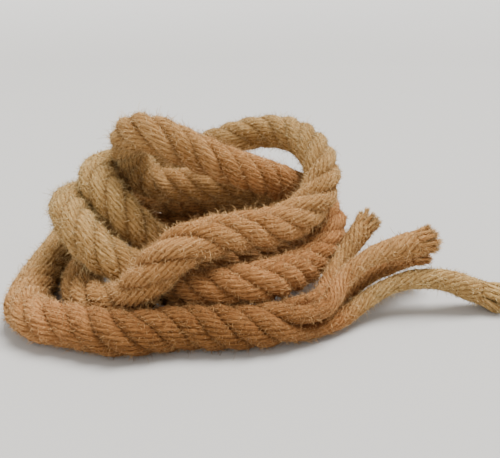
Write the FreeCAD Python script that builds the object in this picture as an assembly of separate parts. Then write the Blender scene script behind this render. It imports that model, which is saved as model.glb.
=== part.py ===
"""A loose heap of thick four-strand natural-fibre rope with one unlaid end.

The rope lies on a floor at z = 0.  It is one tube of constant section that follows a route of
hand-set points: straight runs joined by tangent arcs.  The tube is cut across the middle of some
runs into named stretches, which meet face to face.  At the unlaid end the four strands separate;
each has a fixed root, a free length that turns on a ball at the root's end, and a frayed tip.

Units are millimetres, +Z is up, and the origin is under the middle of the heap on the floor.
"""
import FreeCAD, Part
import math
import os

from FreeCAD import Vector

# Driving dimensions
ROPE_DIAMETER = 24.0
STRAND_DIAMETER = 9.4
REST_HEIGHT = 11.5              # centre height of rope that its own weight presses on the floor
STRAND_PITCH_OFFSET = 5.0       # strand centre from the rope's centre, sideways and up
STRAND_LEAD = 8.0               # straight start of each strand, square to the rope's end face
RUN_SHARE = 0.45                # share of the shorter run that an arc takes at each end
BALL_DIAMETER = 9.0             # ball at the end of a strand's root
SOCKET_DIAMETER = 10.8          # hollow in the free length that turns around the ball
FRAY_LENGTH = 12.0
FRAY_DIAMETER = 14.0
ROOM_SIDE = 400.0               # box above the floor that holds the whole heap

# Route of the rope, from its unlaid end to its cut end
ROPE_ROUTE = [
    (34, -63, REST_HEIGHT), (14, -71, REST_HEIGHT), (-10, -75, REST_HEIGHT), (-38, -73, REST_HEIGHT),
    (-66, -82, REST_HEIGHT), (-92, -73, REST_HEIGHT), (-114, -69, REST_HEIGHT),
    (-130, -54, REST_HEIGHT), (-134, -28, REST_HEIGHT), (-137, 2, REST_HEIGHT),
    (-139, 34, REST_HEIGHT), (-142, 64, REST_HEIGHT), (-134, 78, 22), (-122, 78, 36), (-114, 64, 46),
    (-114, 38, 49), (-119, 4, 56), (-106, -24, 52), (-90, -34, 37), (-65, -31, 25), (-42, -39, 21),
    (-19, -56, 28), (4, -58, 32), (20, -42, 31), (32, -24, 28), (50, -6, 33), (55, 16, 42),
    (38, 32, 53), (16, 20, 66), (-6, 6, 76), (-32, 0, 88), (-58, -4, 102), (-78, 12, 99),
    (-75, 35, 74), (-56, 38, 54), (-32, 34, 53), (-10, 34, 56), (5, 47, 51), (5, 66, 43),
    (-10, 80, 38), (-32, 80, 38), (-54, 72, 38), (-76, 56, 34), (-98, 32, 20), (-106, 2, REST_HEIGHT),
    (-102, -28, REST_HEIGHT), (-86, -48, REST_HEIGHT), (-68, -55, 15), (-56, -61, 33), (-36, -57, 53),
    (-10, -40, 52), (14, -25, 49), (36, -11, 54), (48, 7, 68), (46, 26, 80), (38, 46, 88),
    (20, 64, 91), (-4, 67, 88), (-36, 70, 75), (-72, 70, 68), (-97, 48, 69), (-101, 18, 71),
    (-90, -3, 67), (-76, -11, 49), (-61, -6, 28), (-40, -12, 26), (-14, -14, 25), (10, -2, 21),
    (34, 20, 13), (48, 46, REST_HEIGHT), (38, 70, REST_HEIGHT), (14, 80, REST_HEIGHT),
    (-12, 78, REST_HEIGHT), (-36, 72, REST_HEIGHT), (-60, 68, REST_HEIGHT), (-86, 72, REST_HEIGHT),
]

# Each stretch ends in the middle of the run after the point named here
STRETCHES = [
    ("front_run", 4),
    ("front_left_bend", 7),
    ("left_floor_run", 10),
    ("left_back_fold", 14),
    ("left_bulge", 18),
    ("middle_row", 22),
    ("right_rise", 27),
    ("top_run", 30),
    ("top_hairpin", 34),
    ("inner_turn", 39),
    ("back_pass", 43),
    ("inner_floor_bend", 47),
    ("ring_front", 51),
    ("ring_side", 55),
    ("ring_back", 59),
    ("left_fall", 64),
    ("inner_floor_run", 68),
    ("right_floor_bend", 71),
    ("back_floor_run", 75),
]

# Routes of the four loose strands after their straight start.  "hinge" is the number of the run
# whose middle holds the ball.  "side" and "up" place the strand on the rope's end face.
STRANDS = {
    "strand_1": {"side": -1, "up": -1, "hinge": 2, "route": [
        (56, -56, 8), (70, -46, 14), (88, -39, 20), (105, -36, 21), (121, -36, 19), (134, -36, 13),
        (140, -36, 11),
    ]},
    "strand_2": {"side": 1, "up": -1, "hinge": 2, "route": [
        (52, -45, 7.5), (65, -33, 12), (79, -24, 18), (94, -16, 22), (104, -12, 23),
    ]},
    "strand_3": {"side": -1, "up": 1, "hinge": 2, "route": [
        (55, -53, 21), (65, -41, 27), (76, -33, 32), (90, -30, 37), (102, -28, 41),
    ]},
    "strand_4": {"side": 1, "up": 1, "hinge": 2, "route": [
        (49, -41, 21), (58, -27, 27), (66, -15, 34), (73, -6, 42),
    ]},
}


def corner_arc(before, corner, after):
    """Tangent arc at a route point: start, middle, end and radius."""
    into = corner - before
    out = after - corner
    tangent = RUN_SHARE * min(into.Length, out.Length)
    into.normalize()
    out.normalize()
    half_turn = into.getAngle(out) / 2
    radius = tangent / math.tan(half_turn)
    start = corner - into * tangent
    end = corner + out * tangent
    inward = (out - into).normalize()
    middle = corner + inward * (radius / math.cos(half_turn) - radius)
    return start, middle, end, radius


def route_edges(points):
    """Edges of the route in order: [run, arc, run, arc, ..., run], and the arcs' radii."""
    edges = []
    radii = []
    here = points[0]
    for before, corner, after in zip(points, points[1:], points[2:]):
        start, middle, end, radius = corner_arc(before, corner, after)
        edges.append(Part.LineSegment(here, start).toShape())
        edges.append(Part.Arc(start, middle, end).toShape())
        radii.append(radius)
        here = end
    edges.append(Part.LineSegment(here, points[-1]).toShape())
    return edges, radii


def half_run(edge, first_half):
    """The first or second half of a straight run."""
    a = edge.valueAt(edge.FirstParameter)
    b = edge.valueAt(edge.LastParameter)
    middle = (a + b) * 0.5
    if first_half:
        return Part.LineSegment(a, middle).toShape()
    return Part.LineSegment(middle, b).toShape()


def span(edges, first_run, last_run):
    """Edges from the middle of one run to the middle of another; None means the route's own end."""
    start = 0 if first_run is None else 2 * first_run
    stop = len(edges) if last_run is None else 2 * last_run + 1
    piece = list(edges[start:stop])
    if first_run is not None:
        piece[0] = half_run(piece[0], False)
    if last_run is not None:
        piece[-1] = half_run(piece[-1], True)
    return piece


def tube(edges, diameter):
    """Solid tube of round section along joined edges."""
    start = edges[0].valueAt(edges[0].FirstParameter)
    ahead = edges[0].tangentAt(edges[0].FirstParameter)
    ring = Part.Wire([Part.makeCircle(diameter / 2, start, ahead)])
    return Part.Wire(edges).makePipeShell([ring], True, False)


def above_floor(shape):
    """The part of the shape above z = 0, where the rope's weight has flattened its underside."""
    if shape.BoundBox.ZMin >= 0:
        return shape
    corner = Vector(-ROOM_SIDE / 2, -ROOM_SIDE / 2, 0)
    room = Part.makeBox(ROOM_SIDE, ROOM_SIDE, ROOM_SIDE, corner)
    return shape.common(room)


def export(name, shape):
    """Write one node, after a test that it is one sound solid."""
    solid = shape.Solids[0]
    assert len(shape.Solids) == 1 and solid.isValid(), name
    solid.exportStep("parts/%s.step" % name)
    return solid


def make_rope():
    """All stretches of the laid rope, by name, with the route's length and radii."""
    points = [Vector(*p) for p in ROPE_ROUTE]
    edges, radii = route_edges(points)
    stretches = {}
    first_run = None
    for name, last_point in STRETCHES:
        last_run = None if last_point == len(points) - 1 else last_point
        piece = span(edges, first_run, last_run)
        stretches[name] = above_floor(tube(piece, ROPE_DIAMETER))
        first_run = last_run
    length = sum(edge.Length for edge in edges)
    return stretches, length, radii


def strand_points(side, up, route):
    """Route of a loose strand from the rope's end face."""
    end = Vector(*ROPE_ROUTE[0])
    ahead = (end - Vector(*ROPE_ROUTE[1])).normalize()
    across = Vector(0, 0, 1).cross(ahead)
    root = end + (across * side + Vector(0, 0, up)) * STRAND_PITCH_OFFSET
    return [root, root + ahead * STRAND_LEAD] + [Vector(*p) for p in route]


def make_strand(spec):
    """Root, free length and frayed tip of one loose strand, with its hinge point and length."""
    points = strand_points(spec["side"], spec["up"], spec["route"])
    edges, radii = route_edges(points)
    run = edges[2 * spec["hinge"]]
    hinge = (run.valueAt(run.FirstParameter) + run.valueAt(run.LastParameter)) * 0.5
    root = tube(span(edges, None, spec["hinge"]), STRAND_DIAMETER)
    root = root.fuse(Part.makeSphere(BALL_DIAMETER / 2, hinge)).removeSplitter()
    free = tube(span(edges, spec["hinge"], None), STRAND_DIAMETER)
    free = free.cut(Part.makeSphere(SOCKET_DIAMETER / 2, hinge))
    ahead = (points[-1] - points[-2]).normalize()
    fray = Part.makeCone(STRAND_DIAMETER / 2, FRAY_DIAMETER / 2, FRAY_LENGTH, points[-1], ahead)
    length = sum(edge.Length for edge in edges) + FRAY_LENGTH
    return root, free, fray, hinge, length, radii


def main():
    os.makedirs("parts", exist_ok=True)
    box = FreeCAD.BoundBox()
    volume = 0.0
    stretches, length, radii = make_rope()
    for name, shape in stretches.items():
        solid = export(name, shape)
        box.add(solid.optimalBoundingBox())
        volume += solid.Volume
    section = math.pi * ROPE_DIAMETER ** 2 / 4
    print("rope: length %.1f mm, volume %.4f of section x length" % (length, volume / section / length))
    print("rope: smallest radius %.1f mm; all radii:" % min(radii), [round(r) for r in radii])
    for name, spec in STRANDS.items():
        root, free, fray, hinge, length, radii = make_strand(spec)
        for part, shape in (("root", root), ("free", free), ("fray", fray)):
            solid = export("%s_%s" % (name, part), above_floor(shape))
            box.add(solid.optimalBoundingBox())
        print("%s: length %.1f mm, hinge at (%.2f, %.2f, %.2f), smallest radius %.1f mm"
              % (name, length, hinge.x, hinge.y, hinge.z, min(radii)))
    print("box: x %.2f..%.2f, y %.2f..%.2f, z %.2f..%.2f"
          % (box.XMin, box.XMax, box.YMin, box.YMax, box.ZMin, box.ZMax))


main()
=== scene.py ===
"""The look of a loose heap of thick four-strand jute rope with one unlaid, frayed end.

The rope's route is a smooth NURBS line.  Its control points are the CAD tube's, some of them
moved a little.  Its four laid strands follow that line as helices, each with twelve yarns
as ridges in its surface.  At the unlaid end every strand goes on as a cord of its own, bends across
its joint and ends in splayed yarns.  Loose fibres stand out all over.  Metres, +Z up, origin under
the heap on the floor.
"""

import math

import bpy
import numpy as np
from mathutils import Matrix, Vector


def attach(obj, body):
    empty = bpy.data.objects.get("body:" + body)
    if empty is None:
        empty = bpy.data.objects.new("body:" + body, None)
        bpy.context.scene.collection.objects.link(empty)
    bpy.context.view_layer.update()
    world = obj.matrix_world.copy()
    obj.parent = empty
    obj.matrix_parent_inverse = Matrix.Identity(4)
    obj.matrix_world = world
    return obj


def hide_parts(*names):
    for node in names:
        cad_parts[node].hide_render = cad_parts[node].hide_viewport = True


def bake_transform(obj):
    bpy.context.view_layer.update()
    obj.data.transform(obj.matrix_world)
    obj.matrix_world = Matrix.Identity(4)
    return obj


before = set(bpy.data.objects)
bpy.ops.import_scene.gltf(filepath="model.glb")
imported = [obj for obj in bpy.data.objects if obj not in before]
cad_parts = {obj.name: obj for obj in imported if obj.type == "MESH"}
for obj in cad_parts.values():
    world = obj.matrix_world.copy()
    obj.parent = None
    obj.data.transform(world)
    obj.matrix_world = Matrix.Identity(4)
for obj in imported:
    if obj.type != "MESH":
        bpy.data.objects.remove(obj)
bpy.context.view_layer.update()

FULL_TURN = 2 * math.pi
FLOOR_SKIN = 0.0002                     # lowest height of any fibre
ROUTE_FINENESS = 24                     # line points for each control point of a route
ROPE_SEED, ROPE_FIBRE_SEED = 11, 5
STRAND_SEED, STRAND_FIBRE_SEED = 40, 70

# Laid rope
ROPE_DIAMETER = 0.024
ROPE_RADIUS = ROPE_DIAMETER / 2
LAID_RADIUS = 0.0059                    # strand pressed against its neighbours
LAID_OFFSET = ROPE_RADIUS - LAID_RADIUS
FREE_RADIUS = ROPE_RADIUS / (1 + math.sqrt(2))
FREE_OFFSET = 0.005 * math.sqrt(2)      # strand centre from the rope's centre at its unlaid end
OPENING = 0.030                         # last length, in which the lay runs out
ROPE_STEP = 0.0028                      # spacing of rings along the rope

# Yarns of a strand
YARNS = 12
YARN_CORNERS = 3                        # a valley and the two shoulders of each yarn
YARN_BACKTWIST = 2.1                    # turns against each of the lay's, to run along the rope
YARN_VALLEY = 0.00055
YARN_CROWN = 0.0001
YARN_LUMPS = 0.00013

# Slow unevenness: how much, and over what length it comes and goes
LAY_RATE_STRAY = (0.06, 0.31)
LAY_ANGLE_STRAY = (0.05, 0.11)
LAID_OFFSET_STRAY = (0.03, 0.09)
LAID_RADIUS_STRAY = (0.025, 0.13)
FREE_RADIUS_STRAY = (0.06, 0.05)
YARN_SWELL_STRAY = (0.00016, 0.045)
YARN_SLANT_STRAY = (0.00007, 0.019)
YARN_VALLEY_STRAY = (0.00015, 0.06)
STRAY_HARMONICS = (1, 1.7, 2.9)
STRAY_PEAK = 1.9                        # about what the harmonics add up to

# Loose strands
STRAND_STEP = 0.0016
STRAND_ROOT = 0.003                     # how far it starts inside the laid rope
ROOT_SLIMNESS, ROOT_SLIM_LENGTH = 0.02, 0.006
STRAND_LEAD = 0.008                     # straight start
STRAND_TWIST_PITCH = 0.075
UNTWISTED_START = 0.03                  # length over which the twist and unevenness begin
RIDGE_START = 0.01                      # length over which the yarns' ridges begin
GROOVE_END = 0.02                       # length over which the laid rope's painted groove shade ends
COLOUR_CHANGE = 0.05                    # length over which it takes its own colour
LOOSENING_START, LOOSENING_PART = 0.5, 0.45     # shares of its length
END_PINCH, END_PINCH_LENGTH = 0.15, 0.005

# Splayed yarns at a cut end.  Each ring is its place from centre (0) to edge (1), and its yarns
SPLAY_RINGS = ((0.80, 11), (0.45, 6), (0.1, 2))
SPLAY_POINTS = 9                        # along one yarn
SPLAY_ROOT = 0.003                      # how far a yarn starts inside its strand
SPLAY_JITTER = 0.02                     # of a turn
SPLAY_OUTWARD, SPLAY_WAYWARD = 0.15, 0.30       # least outward, and random, part of its drift
SPLAY_LENGTH = (0.72, 1.0)              # of the end's reach
SPLAY_FAN = (0.6, 1.4)                  # of the end's spread
SPLAY_CENTRE_FAN = 0.35                 # least share of it, at the centre
SPLAY_UP_LEAN = 0.3                     # keeps a yarn's first up direction off its own line
SPLAY_SAG = (-0.12, 0.05)               # of the yarn's length
SPLAY_BOW = 1.7                         # power with which it curves away
SPLAY_GIRTH = 0.24                      # of the strand's radius
SPLAY_GIRTHS = (0.9, 1.1)
SPLAY_TAPER = 0.2
SPLAY_TWIST = 2.5                       # radians from root to tip
SPLAY_CORNERS = 9
SPLAY_RIDGES, SPLAY_RIDGE_HEIGHT = 3, 0.16
SPLAY_BROWNNESS = (-0.12, 0.08)         # each yarn's change from its strand's brownness
SPLAY_DEPTH = 0.96
SPLAY_U_START, SPLAY_U_STEP = 9.0, 0.02
FRAY_FIBRES = 160                       # along and at the tip of each splayed yarn
TIP_SHARE = 0.93                        # of a splayed yarn's length, past which its brush grows
HIDDEN_END = {"radius": LAID_RADIUS * 0.8, "reach": 0.006, "spread": 0.45}
LOOSE_END_RADIUS = 0.95                 # of the strand's, before its loosening

# Fibres.  Each kind's lift is how far it leans out from its yarn
FIBRES_PER_METRE = 95000
STRAND_FIBRES_PER_METRE = 30000
HAIR_SHARE = 0.34
WISP_SHARE = 0.03                       # apart from the stretches in WISPY
FUZZ = {"length": (0.0010, 0.0026), "lift": (0.20, 0.80), "radius": 0.000155, "segments": 1}
HAIR = {"length": (0.0022, 0.0045), "lift": (0.40, 1.00), "radius": 0.000120, "segments": 3}
WISP = {"length": (0.0050, 0.0090), "lift": (0.45, 0.95), "radius": 0.000080, "segments": 5}
BRUSH = {"length": (0.0015, 0.0045), "radius": (0.00009, 0.00015), "curl": (0.3, 1.5),
         "segments": 3}
BRUSH_AHEAD, BRUSH_TANGLE = (0.8, 1.3), (0.8, 0.55)     # along a splayed yarn, and at its tip
BRUSH_ROOT = 0.6                        # of the yarn's radius, from its middle
WISPY = {"left_bulge": 0.12, "left_back_fold": 0.10, "top_hairpin": 0.12, "top_run": 0.08,
         "ring_back": 0.06, "left_fall": 0.06}
FIBRE_CURL = (0.4, 1.8)                 # radians from root to tip
FIBRE_GIRTH = (0.7, 1.25)               # of its kind's radius
FIBRE_TAPER = 0.6
FIBRE_TANGLE = 0.8                      # how much of its heading is random
FIBRE_LEAST_LIFT = 0.15
FIBRE_DROOP = 0.3
FIBRE_SUNK = 0.0002                     # root below the yarn's surface
AHEAD_SHARE = 0.7                       # of the fibres lean ahead along the yarn, the rest back
GROOVE_DEPTH, GROOVE_FADE = 0.66, 0.26  # shares of the rope's radius: few fibres grow inside the
                                        # first, and all of them grow that much further out
LEAST_CHANCE = 0.05                     # of a fibre, in a groove between strands
FIBRE_PAINTED_GROOVE_SHADE = 0.25                  # painted shade: the share of a fibre's paleness outside the grooves that it keeps in them

# Camera: close, 22 degrees above level
CAMERA_PLACE = (0, -0.292, 0.156)
CAMERA_PITCH = 22
CAMERA_LENS = 34.56
CAMERA_SENSOR = 36
NEAREST_SEEN = 0.01

# Studio
LIGHTS_AIM = (0, 0, 0.03)
KEY_LIGHT = {"place": (0.45, 0.38, 1.60), "strength": 6.3, "angle": 32}
FILL_LIGHT = {"place": (-1.20, -0.80, 1.30), "watts": 7.0, "size": 1.6}
STUDIO_AIR = {"colour": (0.90, 0.88, 0.85, 1), "strength": 0.75}
FLOOR_FLAT, FLOOR_CURVE, FLOOR_SLOPE, FLOOR_TOP = 2.5, 4.0, math.radians(25), 5.0
FLOOR_CURVE_STEPS, FLOOR_CORNERS = 12, 96
# Painted light: the floor goes from the first colour to the paler second one with height
FLOOR_PALE, FLOOR_PAINTED_LIGHT = (0.49, 0.48, 0.46, 1), (0.64, 0.63, 0.61, 1)
PAINTED_LIGHT_HEIGHT = 0.4                     # height at which the painted light, the paler colour, is full

# Colours
STRAW_LIGHT, STRAW_DARK = (0.73, 0.505, 0.205, 1), (0.36, 0.225, 0.076, 1)
BROWN_LIGHT, BROWN_DARK = (0.74, 0.365, 0.140, 1), (0.33, 0.136, 0.043, 1)
STRAW_FIBRE, STRAW_FIBRE_DARK = (0.92, 0.73, 0.375, 1), (0.32, 0.215, 0.078, 1)
BROWN_FIBRE, BROWN_FIBRE_DARK = (0.92, 0.56, 0.245, 1), (0.30, 0.137, 0.044, 1)
# Painted shade: multiplied in, in the grooves between strands and the valleys between yarns
GROOVE_PAINTED_SHADE = (0.34, 0.22, 0.14, 1)
STAIN = (0.55, 0.45, 0.34, 1)
# Painted shade: multiplied into the colour where brownness passes full brown
PAINTED_SHADE_TINT = (0.46, 0.42, 0.35, 1)
SHEEN_TINT = (0.9, 0.7, 0.4, 1)

# Noise of the materials: scale and detail
STREAKS = ((95, 300, 1), 4)
TUFTS = ((30, 620, 1), 3)
PATCHES = ((1.7, 18, 1), 2)
SPECKS = ((420, 420, 420), 2)
NOISE_ROUGHNESS = 0.6
NOISE_RANGE = (0.3, 0.7)

# What the materials make of it
STREAK_RANGE = (0.34, 0.66)
STAIN_RANGE, STAIN_STRENGTH = (0.35, 0.65), (0, 0.6)
PAINTED_SHADE_DEPTH = (0.70, 0.93)               # share of the rope's radius over which painted groove shade fades, groove to open strand
YARN_WAVER = (-0.02, 0.02)
# Painted shade in the valleys between yarns: how far from a valley it reaches, and how dark
VALLEY_WIDTH, VALLEY_PAINTED_SHADE = (0, 0.22), (0.7, 0)
BUMP_HEIGHT = 0.0011
SHADE_RANGE = (0.05, 0.5)
YARN_ROUGHNESS, FIBRE_ROUGHNESS = (0.80, 0.98), (0.6, 0.8)

ROPE_ROUTE = [
    (0.034, -0.063, 0.0115), (0.014, -0.071, 0.0115), (-0.01, -0.075, 0.0115),
    (-0.038, -0.073, 0.0115), (-0.066, -0.082, 0.0115), (-0.092, -0.073, 0.0115),
    (-0.114, -0.069, 0.0115), (-0.13, -0.054, 0.0115), (-0.134, -0.028, 0.0115),
    (-0.137, 0.002, 0.0115), (-0.139, 0.034, 0.0115), (-0.142, 0.064, 0.0115),
    (-0.127, 0.081, 0.021), (-0.110, 0.082, 0.038), (-0.098, 0.068, 0.049),
    (-0.110, 0.038, 0.050), (-0.119, 0.004, 0.056), (-0.106, -0.024, 0.052),
    (-0.09, -0.034, 0.037), (-0.065, -0.032, 0.021), (-0.042, -0.045, 0.017),
    (-0.019, -0.056, 0.0255), (0.004, -0.058, 0.029), (0.02, -0.043, 0.027),
    (0.034, -0.026, 0.0245), (0.05, -0.008, 0.029), (0.055, 0.016, 0.042),
    (0.038, 0.032, 0.053), (0.016, 0.02, 0.066), (-0.006, 0.006, 0.076),
    (-0.032, 0, 0.088), (-0.058, -0.004, 0.102), (-0.078, 0.012, 0.099),
    (-0.082, 0.033, 0.073), (-0.068, 0.034, 0.0565), (-0.036, 0.028, 0.060),
    (-0.008, 0.028, 0.061), (0.016, 0.047, 0.052), (0.017, 0.066, 0.041),
    (-0.006, 0.08, 0.033), (-0.032, 0.08, 0.032), (-0.057, 0.076, 0.0325),
    (-0.083, 0.060, 0.042), (-0.102, 0.032, 0.022), (-0.109, 0.002, 0.0115),
    (-0.107, -0.030, 0.0115), (-0.091, -0.050, 0.0115), (-0.068, -0.055, 0.015),
    (-0.056, -0.061, 0.033), (-0.036, -0.057, 0.053), (-0.01, -0.04, 0.052),
    (0.014, -0.025, 0.049), (0.036, -0.011, 0.054), (0.048, 0.007, 0.068),
    (0.046, 0.026, 0.08), (0.038, 0.046, 0.088), (0.02, 0.064, 0.091),
    (-0.004, 0.067, 0.088), (-0.036, 0.07, 0.075), (-0.072, 0.07, 0.068),
    (-0.097, 0.048, 0.069), (-0.103, 0.017, 0.071), (-0.093, -0.004, 0.066),
    (-0.076, -0.011, 0.049), (-0.061, -0.006, 0.028), (-0.04, -0.012, 0.026),
    (-0.014, -0.014, 0.025), (0.01, -0.002, 0.021), (0.034, 0.02, 0.013),
    (0.048, 0.046, 0.0115), (0.038, 0.07, 0.0115), (0.014, 0.082, 0.0115),
    (-0.012, 0.082, 0.0115), (-0.036, 0.078, 0.0115), (-0.06, 0.071, 0.0115),
    (-0.086, 0.072, 0.0115),
]

# Last route point of each stretch, as in the CAD model
STRETCHES = {
    "front_run": 4, "front_left_bend": 7, "left_floor_run": 10, "left_back_fold": 14,
    "left_bulge": 18, "middle_row": 22, "right_rise": 27, "top_run": 30, "top_hairpin": 34,
    "inner_turn": 39, "back_pass": 43, "inner_floor_bend": 47, "ring_front": 51, "ring_side": 55,
    "ring_back": 59, "left_fall": 64, "inner_floor_run": 68, "right_floor_bend": 71,
    "back_floor_run": 75,
}

# At some route points: the length of one turn of the lay, and how brown the jute is (0 straw,
# 1 brown).  Over 1, up to 1.6, it is painted shade: darker, as on the front run and middle row.
# At point 37, on the pass under the top hairpin, it is lowered to paint light: paler
LAY_PITCHES = {0: 0.054, 19: 0.056, 25: 0.054, 29: 0.058, 35: 0.060, 46: 0.066, 49: 0.076,
               53: 0.066, 57: 0.056, 61: 0.060, 75: 0.058}
BROWNNESS_AND_SHADE = {0: 1.3, 2: 1.55, 4: 1.5, 6: 0.8, 8: 0.4, 10: 0.25, 16: 0.1, 18: 0.3, 21: 1.25, 25: 1.0,
             28: 0.9, 32: 0.3, 34: 0.6, 37: 0.35, 40: 0.8, 45: 0.5, 48: 0.75, 51: 0.85, 54: 0.2,
             58: 0.3, 61: 0.1, 63: 0.2, 66: 0.9, 75: 0.8}
# Past full brown the scale is painted shade, deepest at the second value
FULL_BROWN, DEEPEST_PAINTED_SHADE = 1.0, 1.6

# Loose strands: place on the rope's end face, how far and wide the yarns splay past its end, how
# much thicker it gets where they loosen, its brownness, and its route after the straight start
STRANDS = {
    "strand_1": {
        "side": -1, "up": -1, "reach": 0.013, "spread": 0.16, "loosened": 0.45, "brownness_and_shade": 0.2,
        "route": [
            (0.056, -0.056, 0.008), (0.07, -0.046, 0.014), (0.088, -0.039, 0.02),
            (0.105, -0.036, 0.021), (0.121, -0.036, 0.019), (0.134, -0.036, 0.013),
            (0.14, -0.036, 0.011),
        ],
    },
    "strand_2": {
        "side": 1, "up": -1, "reach": 0.010, "spread": 0.20, "loosened": 0.15, "brownness_and_shade": 0.9,
        "route": [
            (0.052, -0.045, 0.0085), (0.065, -0.033, 0.0155), (0.079, -0.024, 0.020),
            (0.094, -0.016, 0.022), (0.104, -0.012, 0.023),
        ],
    },
    "strand_3": {
        "side": -1, "up": 1, "reach": 0.0075, "spread": 0.20, "loosened": 0.50, "brownness_and_shade": 0.65,
        "route": [
            (0.051, -0.051, 0.026), (0.063, -0.041, 0.033), (0.076, -0.033, 0.036),
            (0.09, -0.03, 0.038), (0.102, -0.028, 0.041),
        ],
    },
    "strand_4": {
        "side": 1, "up": 1, "reach": 0.007, "spread": 0.28, "loosened": 0.35, "brownness_and_shade": 0.5,
        "route": [
            (0.047, -0.040, 0.021), (0.056, -0.025, 0.028), (0.065, -0.014, 0.035),
            (0.073, -0.006, 0.042),
        ],
    },
}


# Lines and frames

def route_line(name, points):
    """Points along the smooth line through a cord's route."""
    curve = bpy.data.curves.new(name + "_route", "CURVE")
    curve.dimensions = "3D"
    curve.resolution_u = ROUTE_FINENESS
    spline = curve.splines.new("NURBS")
    spline.points.add(len(points) - 1)
    for control, point in zip(spline.points, points):
        control.co = (*point, 1)
    spline.order_u = 3
    spline.use_endpoint_u = True
    holder = bpy.data.objects.new(name + "_route", curve)
    mesh = bpy.data.meshes.new_from_object(holder)
    line = np.array([v.co for v in mesh.vertices], float)
    bpy.data.objects.remove(holder)
    bpy.data.curves.remove(curve)
    bpy.data.meshes.remove(mesh)
    return line


def evenly(line, step):
    """The line with evenly spaced points, and how far along it each one is."""
    gaps = np.linalg.norm(np.diff(line, axis=0), axis=1)
    along = np.concatenate([[0], np.cumsum(gaps)])
    wanted = np.linspace(0, along[-1], round(along[-1] / step) + 1)
    spaced = np.column_stack([np.interp(wanted, along, line[:, axis]) for axis in range(3)])
    return spaced, wanted


def unit(vectors):
    return vectors / np.linalg.norm(vectors, axis=-1, keepdims=True)


def carried_frames(line, first_up):
    """Tangent, up and side at each point, with as little turning about the line as possible."""
    tangents = unit(np.gradient(line, axis=0))
    ups = np.empty_like(line)
    up = np.array(first_up, float)
    for i, tangent in enumerate(tangents):
        up = up - tangent * (up @ tangent)
        up = up / np.linalg.norm(up)
        ups[i] = up
    return tangents, ups, np.cross(tangents, ups)


def smooth_start(along, length):
    """0 at the line's start, rising smoothly to 1 at that length."""
    share = np.clip(along / length, 0, 1)
    return share * share * (3 - 2 * share)


def stray(along, amount_and_wavelength, draws):
    """A smooth uneven curve that stays within about that amount of 0."""
    amount, wavelength = amount_and_wavelength
    total = np.zeros_like(along)
    for harmonic in STRAY_HARMONICS:
        phase = draws.uniform(0, FULL_TURN)
        total += np.sin(along * FULL_TURN * harmonic / wavelength + phase) / harmonic
    return total / STRAY_PEAK * amount


def by_route_point(along, values):
    """A value given at some route points, at every place along the rope."""
    shares = np.array(list(values)) / (len(ROPE_ROUTE) - 1)
    return np.interp(along / along[-1], shares, list(values.values()))


# Meshes

def mesh_piece(name, points, faces, smooth, values, material, uvs=None):
    """A piece whose mesh never goes under the floor, with its point values and fibre UVs."""
    mesh = bpy.data.meshes.new(name)
    points[:, 2] = np.maximum(points[:, 2], FLOOR_SKIN)
    mesh.from_pydata(points.tolist(), [], faces)
    mesh.polygons.foreach_set("use_smooth", smooth)
    for key, numbers in values.items():
        attribute = mesh.attributes.new(key, "FLOAT", "POINT")
        attribute.data.foreach_set("value", numbers.astype(np.float32))
    if uvs is not None:
        layer = mesh.uv_layers.new(name="fibre_uv")
        layer.data.foreach_set("uv", uvs.astype(np.float32).ravel())
    mesh.materials.append(material)
    mesh.update()
    piece = bpy.data.objects.new(name, mesh)
    bpy.context.scene.collection.objects.link(piece)
    return piece


def tube_mesh(name, tubes, material):
    """One mesh of closed tubes, each with rings, UVs, depth and brownness, which also carries
    painted shade and light.
    """
    points, faces, smooth, uvs, depths, browns = [], [], [], [], [], []
    first = 0
    for tube in tubes:
        rings = tube["rings"]
        count, corners = rings.shape[:2]
        grid = first + np.arange(count * corners).reshape(count, corners)
        after = np.roll(grid, -1, axis=1)
        quads = np.stack([grid[:-1], after[:-1], after[1:], grid[1:]], axis=-1).reshape(-1, 4)
        faces += quads.tolist() + [grid[0, ::-1].tolist(), grid[-1].tolist()]
        smooth += [True] * len(quads) + [False, False]
        u = tube["u_start"] + tube["u_step"] * np.arange(corners + 1)
        v = tube["v"]
        left, low = np.meshgrid(u[:-1], v[:-1])
        right, high = np.meshgrid(u[1:], v[1:])
        sides = np.stack([left, low, right, low, right, high, left, high], axis=-1).reshape(-1, 2)
        caps = np.array([[u[0], v[0]]] * corners + [[u[0], v[-1]]] * corners)
        uvs += [sides, caps]
        points.append(rings.reshape(-1, 3))
        depths.append(np.broadcast_to(tube["depth"], rings.shape[:2]).reshape(-1))
        browns.append(np.repeat(tube["brownness_and_shade"], corners))
        first += count * corners
    values = {"depth": np.concatenate(depths), "brownness_and_shade": np.concatenate(browns)}
    return mesh_piece(name, np.concatenate(points), faces, smooth, values, material,
                      np.concatenate(uvs))


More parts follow.
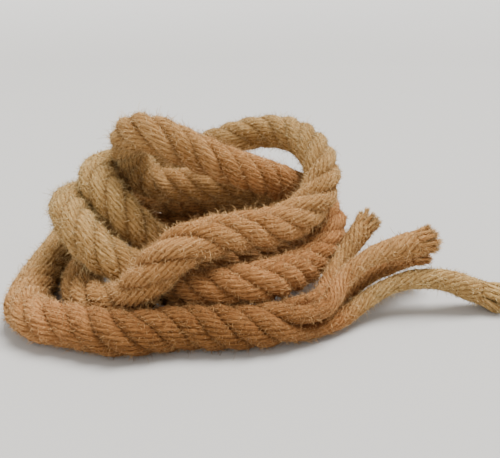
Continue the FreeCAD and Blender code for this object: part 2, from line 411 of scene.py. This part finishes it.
def fibre_mesh(name, batches, material):
    """One mesh of curved three-sided hairs that taper to a point."""
    points, faces, browns, shades = [], [], [], []
    first = 0
    for hairs in batches:
        segments = hairs["segments"]
        ahead = unit(hairs["heading"])
        bend = hairs["bend"] - ahead * (hairs["bend"] * ahead).sum(1)[:, None]
        bend = unit(bend)
        level = np.cross(ahead, bend)
        share = np.arange(segments + 1) / segments
        swing = hairs["curl"][:, None] * share
        forward, aside = np.sin(swing)[..., None], (1 - np.cos(swing))[..., None]
        size = (hairs["length"] / hairs["curl"])[:, None, None]
        path = ahead[:, None] * forward + bend[:, None] * aside
        centres = hairs["root"][:, None] + size * path
        normal = ahead[:, None] * forward + bend[:, None] * (aside - 1)
        thickness = (hairs["radius"][:, None] * (1 - FIBRE_TAPER * share ** 2))[..., None]
        turns = [FULL_TURN * side / 3 for side in range(3)]
        corners = [centres + thickness * (math.cos(turn) * level[:, None]
                                          + math.sin(turn) * normal) for turn in turns]
        rings = np.stack(corners, axis=2)[:, :-1].reshape(len(ahead), -1, 3)
        whole = np.concatenate([rings, centres[:, -1:]], axis=1)
        tip = 3 * segments
        starts = first + (tip + 1) * np.arange(len(ahead))
        for ring in range(segments):
            for side in range(3):
                low, next_low = 3 * ring + side, 3 * ring + (side + 1) % 3
                if ring == segments - 1:
                    pattern = [low, next_low, tip]
                else:
                    pattern = [low, next_low, next_low + 3, low + 3]
                faces += (starts[:, None] + pattern).tolist()
        faces += (starts[:, None] + [2, 1, 0]).tolist()
        points.append(whole.reshape(-1, 3))
        browns.append(np.repeat(hairs["brownness_and_shade"], tip + 1))
        shades.append(np.repeat(hairs["shade"], tip + 1))
        first += (tip + 1) * len(ahead)
    values = {"brownness_and_shade": np.concatenate(browns), "shade": np.concatenate(shades)}
    return mesh_piece(name, np.concatenate(points), faces, [True] * len(faces), values, material)


# Strands and yarns

def yarn_profile(along, radius, draws, boldness):
    """Ring radii (points, corners) of a strand whose surface is a row of yarns."""
    radii = np.empty((len(along), YARNS * YARN_CORNERS))
    for yarn in range(YARNS):
        swell = stray(along, YARN_SWELL_STRAY, draws) * boldness
        slant = stray(along, YARN_SLANT_STRAY, draws) * boldness
        valley = (YARN_VALLEY + stray(along, YARN_VALLEY_STRAY, draws)) * boldness
        radii[:, yarn * YARN_CORNERS] = radius - valley
        radii[:, yarn * YARN_CORNERS + 1] = radius + YARN_CROWN + swell + slant
        radii[:, yarn * YARN_CORNERS + 2] = radius + YARN_CROWN + swell - slant
    lumps = draws.normal(0, YARN_LUMPS, radii.shape) * boldness[:, None]
    return radii + lumps


def yarn_rings(centres, outward, across, turn, radii):
    """Rings of a strand round its centres; turn is the yarns' angle at each ring."""
    corners = radii.shape[1]
    angles = turn[:, None] + np.arange(corners) * FULL_TURN / corners
    return (centres[:, None] + radii[..., None] * (np.cos(angles)[..., None] * outward[:, None]
                                                  + np.sin(angles)[..., None] * across[:, None]))


def laid_rope():
    """The rope's line, its four laid strands as tubes, and the same as guides for fibres."""
    draws = np.random.default_rng(ROPE_SEED)
    line, along = evenly(route_line("rope", ROPE_ROUTE), ROPE_STEP)
    _, ups, sides = carried_frames(line, (0, 0, 1))
    laid = smooth_start(along, OPENING)
    rate = FULL_TURN / by_route_point(along, LAY_PITCHES) * laid
    rate = rate * (1 + stray(along, LAY_RATE_STRAY, draws))
    lay = np.concatenate([[0], np.cumsum((rate[1:] + rate[:-1]) / 2 * np.diff(along))])
    brownness_and_shade = by_route_point(along, BROWNNESS_AND_SHADE)
    tubes, guides = [], []
    for number, spec in enumerate(STRANDS.values()):
        angle = math.atan2(spec["side"], spec["up"]) + lay
        angle = angle + laid * stray(along, LAY_ANGLE_STRAY, draws)
        outward = np.cos(angle)[:, None] * ups + np.sin(angle)[:, None] * sides
        offset = FREE_OFFSET + (LAID_OFFSET - FREE_OFFSET) * laid
        offset = offset * (1 + laid * stray(along, LAID_OFFSET_STRAY, draws))
        centres = line + outward * offset[:, None]
        ahead = unit(np.gradient(centres, axis=0))
        outward = unit(outward - ahead * (outward * ahead).sum(1)[:, None])
        across = np.cross(ahead, outward)
        radius = FREE_RADIUS + (LAID_RADIUS - FREE_RADIUS) * laid
        radius = radius * (1 + laid * stray(along, LAID_RADIUS_STRAY, draws))
        radii = yarn_profile(along, radius, draws, laid)
        rings = yarn_rings(centres, outward, across, -YARN_BACKTWIST * lay, radii)
        depth = np.linalg.norm(rings - line[:, None], axis=2) / ROPE_RADIUS
        tubes.append({"rings": rings, "v": along, "u_start": number, "u_step": 1 / rings.shape[1],
                      "depth": depth, "brownness_and_shade": brownness_and_shade})
        guides.append({"rings": rings, "centres": centres, "depth": depth, "brownness_and_shade": brownness_and_shade,
                       "ahead": ahead, "outward": outward, "across": across})
    return line, along, tubes, guides


def strand_route(spec):
    """A loose strand's route, which goes straight on from its place in the rope's end face."""
    end, behind = np.array(ROPE_ROUTE[0]), np.array(ROPE_ROUTE[1])
    ahead = unit(end - behind)
    across = np.cross((0, 0, 1), ahead)
    place = across * spec["side"] + np.array([0, 0, spec["up"]])
    root = end + place * (FREE_OFFSET / math.sqrt(2))
    start = [tuple(root - ahead * STRAND_ROOT), tuple(root + ahead * STRAND_LEAD)]
    return start + spec["route"]


def loose_strand(name, number, spec):
    """One loose strand's line, its tube and the same as a guide for fibres."""
    draws = np.random.default_rng(STRAND_SEED + number)
    points = strand_route(spec)
    line, along = evenly(route_line(name, points), STRAND_STEP)
    length = along[-1]
    tangents, ups, sides = carried_frames(line, np.array(points[0]) - np.array(ROPE_ROUTE[0]))
    untwisting = smooth_start(along, UNTWISTED_START)
    turn = FULL_TURN / STRAND_TWIST_PITCH * along * untwisting
    filled = smooth_start(along, ROOT_SLIM_LENGTH)
    radius = FREE_RADIUS * (1 - ROOT_SLIMNESS + ROOT_SLIMNESS * filled)
    radius = radius * (1 + untwisting * stray(along, FREE_RADIUS_STRAY, draws))
    loosening = smooth_start(along - LOOSENING_START * length, LOOSENING_PART * length)
    opened = spec["loosened"] * loosening
    pinch = END_PINCH * smooth_start(along - length + END_PINCH_LENGTH, END_PINCH_LENGTH)
    radius = radius * (1 + opened) * (1 - pinch)
    radii = yarn_profile(along, radius, draws, smooth_start(along, RIDGE_START) * (1 + opened))
    rings = yarn_rings(line, ups, -sides, turn, radii)
    corners = rings.shape[1]
    # Near the root, depth is measured from the rope's end, so the painted groove shade runs on
    from_rope = np.linalg.norm(rings - np.array(ROPE_ROUTE[0]), axis=2) / ROPE_RADIUS
    parted = smooth_start(along, GROOVE_END)[:, None]
    depth = from_rope * (1 - parted) + parted
    start, settled = BROWNNESS_AND_SHADE[0], spec["brownness_and_shade"]
    brownness_and_shade = start + (settled - start) * smooth_start(along, COLOUR_CHANGE)
    rings, depth = rings[:, ::-1], depth[:, ::-1]
    tube = {"rings": rings, "v": -along, "u_start": number + (corners - 1) / corners,
            "u_step": -1 / corners, "depth": depth, "brownness_and_shade": brownness_and_shade}
    guide = {"rings": rings, "centres": line, "depth": depth, "brownness_and_shade": brownness_and_shade,
             "ahead": tangents, "outward": ups, "across": sides}
    return line, length, tube, guide


# Fibres

def random_directions(draws, count):
    return unit(draws.normal(0, 1, (count, 3)))


def surface_fibres(draws, guide, first, last, count, wispy):
    """Batches of hairs that grow from a guide's rings, between two of them."""
    rings = guide["rings"][first:last + 1]
    chance = np.clip((guide["depth"][first:last] - GROOVE_DEPTH) / GROOVE_FADE, LEAST_CHANCE, 1)
    picks = draws.choice(chance.size, count, p=chance.ravel() / chance.sum())
    ring, corner = np.divmod(picks, rings.shape[1])
    share = draws.random(count)[:, None]
    root = rings[ring, corner] * (1 - share) + rings[ring + 1, corner] * share
    beside = rings[ring, (corner + 1) % rings.shape[1]] - rings[ring, corner]
    root = root + beside * draws.uniform(-0.5, 0.5, count)[:, None]
    yarn = unit(rings[ring + 1, corner] - rings[ring, corner])
    outward = unit(root - guide["centres"][first + ring])
    brownness_and_shade = guide["brownness_and_shade"][first + ring]
    # Painted shade: fibres in the grooves between strands are darker
    painted_shade_paleness = FIBRE_PAINTED_GROOVE_SHADE + (1 - FIBRE_PAINTED_GROOVE_SHADE) * chance[ring, corner]
    shade = draws.random(count) * painted_shade_paleness
    batches = []
    pick = draws.random(count)
    high = 0.0
    kinds = ((FUZZ, 1 - HAIR_SHARE - wispy), (HAIR, HAIR_SHARE), (WISP, wispy))
    for kind, kind_share in kinds:
        low, high = high, high + kind_share
        chosen = (pick >= low) & (pick < high)
        some = int(chosen.sum())
        lift = draws.uniform(*kind["lift"], some)[:, None]
        lean = np.where(draws.random(some) < AHEAD_SHARE, 1, -1)[:, None]
        out = outward[chosen]
        heading = yarn[chosen] * lean * (1 - lift) + out * lift
        heading = heading + random_directions(draws, some) * FIBRE_TANGLE
        heading = heading + out * np.maximum(0, FIBRE_LEAST_LIFT - (heading * out).sum(1))[:, None]
        batches.append({
            "root": root[chosen] - out * FIBRE_SUNK,
            "heading": heading,
            "bend": random_directions(draws, some) - out * FIBRE_DROOP,
            "length": draws.uniform(*kind["length"], some),
            "curl": draws.uniform(*FIBRE_CURL, some),
            "radius": draws.uniform(*FIBRE_GIRTH, some) * kind["radius"],
            "brownness_and_shade": brownness_and_shade[chosen],
            "shade": shade[chosen],
            "segments": kind["segments"],
        })
    return batches


def brush(draws, line, tangents, girth, brownness_and_shade):
    """Hairs along a splayed yarn and, denser and straighter, at its tip."""
    runs = len(line) - 1
    half = FRAY_FIBRES // 2
    place = np.concatenate([draws.uniform(0, 1, half),
                            draws.uniform(TIP_SHARE, 1, FRAY_FIBRES - half)])
    spot = np.clip((place * runs).astype(int), 0, runs - 1)
    part = (place * runs - spot)[:, None]
    root = line[spot] * (1 - part) + line[spot + 1] * part
    tipped = (place > TIP_SHARE)[:, None]
    straight, tangle = (np.where(tipped, at_tip, along)
                        for along, at_tip in (BRUSH_AHEAD, BRUSH_TANGLE))
    wild = random_directions(draws, FRAY_FIBRES)
    return {
        "root": root + wild * girth * BRUSH_ROOT,
        "heading": tangents[spot] * straight + wild * tangle,
        "bend": random_directions(draws, FRAY_FIBRES),
        "length": draws.uniform(*BRUSH["length"], FRAY_FIBRES),
        "curl": draws.uniform(*BRUSH["curl"], FRAY_FIBRES),
        "radius": draws.uniform(*BRUSH["radius"], FRAY_FIBRES),
        "brownness_and_shade": np.full(FRAY_FIBRES, brownness_and_shade),
        "shade": draws.random(FRAY_FIBRES),
        "segments": BRUSH["segments"],
    }


def splayed_end(draws, guide, radius, reach, spread):
    """Yarns that leave a strand's end and fan out: their tubes, and hairs along and past them."""
    centre, ahead, outward, across = (guide[key][-1]
                                      for key in ("centres", "ahead", "outward", "across"))
    tubes, batches = [], []
    places = [(place, k / count) for place, count in SPLAY_RINGS for k in range(count)]
    along = np.linspace(0, 1, SPLAY_POINTS)
    share = along[:, None]
    for number, (place, around) in enumerate(places):
        angle = FULL_TURN * (around + draws.uniform(-SPLAY_JITTER, SPLAY_JITTER))
        away = math.cos(angle) * outward + math.sin(angle) * across
        wayward = random_directions(draws, 1)[0] * SPLAY_WAYWARD
        drift = unit(away * (place + SPLAY_OUTWARD) + wayward)
        length = reach * draws.uniform(*SPLAY_LENGTH)
        fan = spread * (SPLAY_CENTRE_FAN + place) * draws.uniform(*SPLAY_FAN)
        sag = draws.uniform(*SPLAY_SAG)
        line = (centre + away * place * radius - ahead * SPLAY_ROOT
                + ahead * (SPLAY_ROOT + length) * share
                + drift * length * fan * share ** SPLAY_BOW
                + np.array([0, 0, 1]) * length * sag * share ** 2)
        tangents, ups, sides = carried_frames(line, away + ahead * SPLAY_UP_LEAN)
        girth = radius * SPLAY_GIRTH * draws.uniform(*SPLAY_GIRTHS)
        girth = girth * (1 - SPLAY_TAPER * along ** 2)
        turn = SPLAY_TWIST * along
        corners = np.arange(SPLAY_CORNERS)
        ridges = 1 + SPLAY_RIDGE_HEIGHT * np.cos(corners * FULL_TURN / SPLAY_RIDGES)
        rings = yarn_rings(line, ups, sides, turn, girth[:, None] * ridges)[:, ::-1]
        brownness_and_shade = guide["brownness_and_shade"][-1] + draws.uniform(*SPLAY_BROWNNESS)
        tubes.append({"rings": rings, "v": np.linspace(0, length, SPLAY_POINTS),
                      "u_start": SPLAY_U_START + number, "u_step": SPLAY_U_STEP,
                      "depth": SPLAY_DEPTH, "brownness_and_shade": np.full(SPLAY_POINTS, brownness_and_shade)})
        batches.append(brush(draws, line, tangents, girth[-1], brownness_and_shade))
    return tubes, batches


# Materials

class Nodes:
    """Short names for adding and linking a material's nodes."""

    def __init__(self, name):
        self.material = bpy.data.materials.new(name)
        self.material.use_nodes = True
        self.tree = self.material.node_tree
        self.shader = self.tree.nodes["Principled BSDF"]

    def plug(self, socket, source):
        """Links the socket to a source socket, or sets it to a plain value."""
        if isinstance(source, bpy.types.NodeSocket):
            self.tree.links.new(source, socket)
        else:
            socket.default_value = source

    def add(self, kind, inputs=None, **settings):
        node = self.tree.nodes.new(kind)
        for key, value in settings.items():
            setattr(node, key, value)
        for socket, source in (inputs or {}).items():
            self.plug(node.inputs[socket], source)
        return node

    def math(self, operation, first, second):
        return self.add("ShaderNodeMath", {0: first, 1: second}, operation=operation).outputs[0]

    def noise(self, vector, scale, detail):
        mapping = self.add("ShaderNodeMapping", {"Vector": vector, "Scale": scale})
        node = self.add("ShaderNodeTexNoise", {"Vector": mapping.outputs["Vector"], "Scale": 1.0,
                                               "Detail": detail, "Roughness": NOISE_ROUGHNESS})
        return node.outputs["Fac"]

    def spread(self, value, source, target=(0, 1)):
        """The value's source range, stretched to the target range."""
        node = self.add("ShaderNodeMapRange", {
            "Value": value, "From Min": source[0], "From Max": source[1],
            "To Min": target[0], "To Max": target[1],
        })
        return node.outputs["Result"]

    def attribute(self, name):
        return self.add("ShaderNodeAttribute", attribute_name=name).outputs["Fac"]

    def mix(self, factor, first, second, blend="MIX"):
        node = self.add("ShaderNodeMix", data_type="RGBA", blend_type=blend)
        colours = [socket for socket in node.inputs if socket.type == "RGBA"]
        for socket, source in zip([node.inputs["Factor"], *colours], (factor, first, second)):
            self.plug(socket, source)
        return next(socket for socket in node.outputs if socket.type == "RGBA")

    def multiplied(self, first, second):
        return self.mix(1.0, first, second, "MULTIPLY")

    def set(self, **sources):
        for socket, source in sources.items():
            self.plug(self.shader.inputs[socket.replace("_", " ")], source)


def with_painted_shade(nodes, brownness_and_shade, colour):
    """The colour with painted shade: darker where brownness is over 1."""
    painted_shade_share = nodes.spread(brownness_and_shade, (FULL_BROWN, DEEPEST_PAINTED_SHADE))
    return nodes.mix(painted_shade_share, colour, nodes.multiplied(colour, PAINTED_SHADE_TINT))


def jute_yarn():
    """Laid yarn: fibre streaks along it, patchy colour, painted shade in grooves and valleys, a
    dry, rough surface.
    """
    nodes = Nodes("jute_yarn")
    uv = nodes.add("ShaderNodeUVMap", uv_map="fibre_uv").outputs["UV"]
    streaks, tufts, patches = (nodes.noise(uv, *noise) for noise in (STREAKS, TUFTS, PATCHES))
    fibre = nodes.spread(streaks, STREAK_RANGE)
    brownness_and_shade = nodes.attribute("brownness_and_shade")
    straw = nodes.mix(fibre, STRAW_DARK, STRAW_LIGHT)
    brown = nodes.mix(fibre, BROWN_DARK, BROWN_LIGHT)
    # Painted shade where brownness is over 1
    colour = with_painted_shade(nodes, brownness_and_shade, nodes.mix(brownness_and_shade, straw, brown))
    stained = nodes.spread(patches, STAIN_RANGE, STAIN_STRENGTH)
    colour = nodes.mix(stained, colour, STAIN, "MULTIPLY")
    # Painted shade: darker in the grooves between strands and in the valleys between yarns
    groove_shade_mask = nodes.spread(nodes.attribute("depth"), PAINTED_SHADE_DEPTH, (1, 0))
    across = nodes.add("ShaderNodeSeparateXYZ", {0: uv}).outputs["X"]
    wavering = nodes.math("ADD", across, nodes.spread(tufts, NOISE_RANGE, YARN_WAVER))
    from_valley = nodes.math("PINGPONG", nodes.math("MULTIPLY", wavering, YARNS), 0.5)
    valley_shade_mask = nodes.spread(from_valley, VALLEY_WIDTH, VALLEY_PAINTED_SHADE)
    painted_shade_mask = nodes.math("MAXIMUM", groove_shade_mask, valley_shade_mask)
    colour = nodes.mix(painted_shade_mask, colour, nodes.multiplied(colour, GROOVE_PAINTED_SHADE))
    height = nodes.math("ADD", streaks, tufts)
    bump = nodes.add("ShaderNodeBump", {"Height": height, "Strength": 1.0, "Distance": BUMP_HEIGHT})
    nodes.set(Base_Color=colour, Roughness=nodes.spread(streaks, NOISE_RANGE, YARN_ROUGHNESS),
              Normal=bump.outputs["Normal"], Specular_IOR_Level=0.1, Sheen_Weight=0.06,
              Sheen_Roughness=0.5, Sheen_Tint=SHEEN_TINT)
    return nodes.material


def jute_fibre():
    """Single fibres: paler than the yarn, each its own shade, uneven along its length, with painted
    shade in the grooves.
    """
    nodes = Nodes("jute_fibre")
    place = nodes.add("ShaderNodeTexCoord").outputs["Object"]
    uneven = nodes.noise(place, *SPECKS)
    shade = nodes.spread(nodes.math("MULTIPLY", nodes.attribute("shade"), uneven), SHADE_RANGE)
    straw = nodes.mix(shade, STRAW_FIBRE_DARK, STRAW_FIBRE)
    brown = nodes.mix(shade, BROWN_FIBRE_DARK, BROWN_FIBRE)
    brownness_and_shade = nodes.attribute("brownness_and_shade")
    # Painted shade where brownness is over 1
    colour = with_painted_shade(nodes, brownness_and_shade, nodes.mix(brownness_and_shade, straw, brown))
    nodes.set(Base_Color=colour, Roughness=nodes.spread(uneven, NOISE_RANGE, FIBRE_ROUGHNESS),
              Specular_IOR_Level=0.25)
    return nodes.material


# Studio

def studio_light(name, kind, place):
    """A light that points at the object."""
    light = bpy.data.lights.new(name, kind)
    lamp = bpy.data.objects.new(name, light)
    lamp.location = place
    aim = Vector(LIGHTS_AIM) - Vector(place)
    lamp.rotation_euler = aim.to_track_quat("-Z", "Y").to_euler()
    bpy.context.scene.collection.objects.link(lamp)
    return light


def camera_and_light():
    camera = bpy.data.cameras.new("camera")
    camera.lens = CAMERA_LENS
    camera.sensor_width = CAMERA_SENSOR
    camera.clip_start = NEAREST_SEEN
    eye = bpy.data.objects.new("camera", camera)
    eye.location = CAMERA_PLACE
    eye.rotation_euler = (math.radians(90 - CAMERA_PITCH), 0, 0)
    bpy.context.scene.collection.objects.link(eye)
    bpy.context.scene.camera = eye
    key = studio_light("key_light", "SUN", KEY_LIGHT["place"])
    key.energy = KEY_LIGHT["strength"]
    key.angle = math.radians(KEY_LIGHT["angle"])
    fill = studio_light("fill_light", "AREA", FILL_LIGHT["place"])
    fill.energy = FILL_LIGHT["watts"]
    fill.size = FILL_LIGHT["size"]
    world = bpy.data.worlds.new("studio")
    world.use_nodes = True
    background = world.node_tree.nodes["Background"]
    background.inputs["Color"].default_value = STUDIO_AIR["colour"]
    background.inputs["Strength"].default_value = STUDIO_AIR["strength"]
    bpy.context.scene.world = world


def pale_floor():
    """A round studio floor that rises gently far from the object, painted paler with height as
    painted light.
    """
    profile = [(FLOOR_FLAT, 0.0)]
    for step in range(1, FLOOR_CURVE_STEPS + 1):
        angle = FLOOR_SLOPE * step / FLOOR_CURVE_STEPS
        profile.append((FLOOR_FLAT + FLOOR_CURVE * math.sin(angle),
                        FLOOR_CURVE * (1 - math.cos(angle))))
    radius, height = profile[-1]
    profile.append((radius + (FLOOR_TOP - height) / math.tan(FLOOR_SLOPE), FLOOR_TOP))
    turns = [FULL_TURN * k / FLOOR_CORNERS for k in range(FLOOR_CORNERS)]
    points = [(radius * math.cos(turn), radius * math.sin(turn), height)
              for radius, height in profile for turn in turns]
    faces = []
    for ring in range(len(profile) - 1):
        for k in range(FLOOR_CORNERS):
            low, after = ring * FLOOR_CORNERS + k, ring * FLOOR_CORNERS + (k + 1) % FLOOR_CORNERS
            faces.append((low, low + FLOOR_CORNERS, after + FLOOR_CORNERS, after))
    faces.append(tuple(range(FLOOR_CORNERS)))
    mesh = bpy.data.meshes.new("floor")
    mesh.from_pydata(points, [], faces)
    mesh.polygons.foreach_set("use_smooth", [True] * (len(faces) - 1) + [False])
    floor = bpy.data.objects.new("floor", mesh)
    bpy.context.scene.collection.objects.link(floor)
    nodes = Nodes("floor")
    place = nodes.add("ShaderNodeTexCoord").outputs["Object"]
    height = nodes.add("ShaderNodeSeparateXYZ", {0: place}).outputs["Z"]
    # Painted light: paler with height, to even out the weaker light on the rising floor
    colour = nodes.mix(nodes.spread(height, (0, PAINTED_LIGHT_HEIGHT)), FLOOR_PALE, FLOOR_PAINTED_LIGHT)
    nodes.set(Base_Color=colour, Roughness=0.8)
    mesh.materials.append(nodes.material)


# Making

def make_rope():
    """The laid rope as one piece.  Gives how far along it each ring is, and its strands' guides."""
    line, along, tubes, guides = laid_rope()
    rope = tube_mesh("laid_rope", tubes, YARN)
    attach(rope, "heap")
    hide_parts(*STRETCHES)
    return along, guides


def make_rope_fibres(draws, along, guides):
    """Fibres all over the rope, one piece for each stretch."""
    first = 0
    for stretch, end in STRETCHES.items():
        last = round(end / (len(ROPE_ROUTE) - 1) * (len(along) - 1))
        count = round(FIBRES_PER_METRE / len(guides) * (along[last] - along[first]))
        wispy = WISPY.get(stretch, WISP_SHARE)
        batches = [hairs for guide in guides
                   for hairs in surface_fibres(draws, guide, first, last, count, wispy)]
        fibres = fibre_mesh(stretch + "_fibres", batches, FIBRE)
        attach(fibres, "heap")
        first = last


def make_hidden_end(draws, guides):
    """The tuft at the cut end that lies behind the heap."""
    stubs, hairs = [], []
    for guide in guides:
        more_stubs, more_hairs = splayed_end(draws, guide, **HIDDEN_END)
        stubs += more_stubs
        hairs += more_hairs
    for piece in (tube_mesh("hidden_end_yarns", stubs, YARN),
                  fibre_mesh("hidden_end_fibres", hairs, FIBRE)):
        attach(piece, "heap")


def make_loose_strand(name, number, spec):
    """A loose strand that bends at its joint, its fibres, and its frayed tip."""
    line, length, tube, guide = loose_strand(name, number, spec)
    draws = np.random.default_rng(STRAND_FIBRE_SEED + number)
    strand = tube_mesh(name, [tube], YARN)
    count = round(STRAND_FIBRES_PER_METRE * length)
    batches = surface_fibres(draws, guide, 0, len(line) - 1, count, WISP_SHARE)
    fibres = fibre_mesh(name + "_fibres", batches, FIBRE)
    for piece in (strand, fibres):
        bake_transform(piece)
    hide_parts(name + "_root", name + "_free")
    end_radius = FREE_RADIUS * (LOOSE_END_RADIUS + spec["loosened"])
    yarns, hairs = splayed_end(draws, guide, end_radius, spec["reach"], spec["spread"])
    fray = tube_mesh(name + "_fray_yarns", yarns, YARN)
    tip_hairs = fibre_mesh(name + "_fray_fibres", hairs, FIBRE)
    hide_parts(name + "_fray")
    for piece in (fray, tip_hairs):
        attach(piece, name + "_end")


camera_and_light()
pale_floor()
YARN, FIBRE = jute_yarn(), jute_fibre()
rope_along, rope_guides = make_rope()
rope_draws = np.random.default_rng(ROPE_FIBRE_SEED)
make_rope_fibres(rope_draws, rope_along, rope_guides)
make_hidden_end(rope_draws, rope_guides)
for strand_number, (strand_name, strand_spec) in enumerate(STRANDS.items()):
    make_loose_strand(strand_name, strand_number, strand_spec)
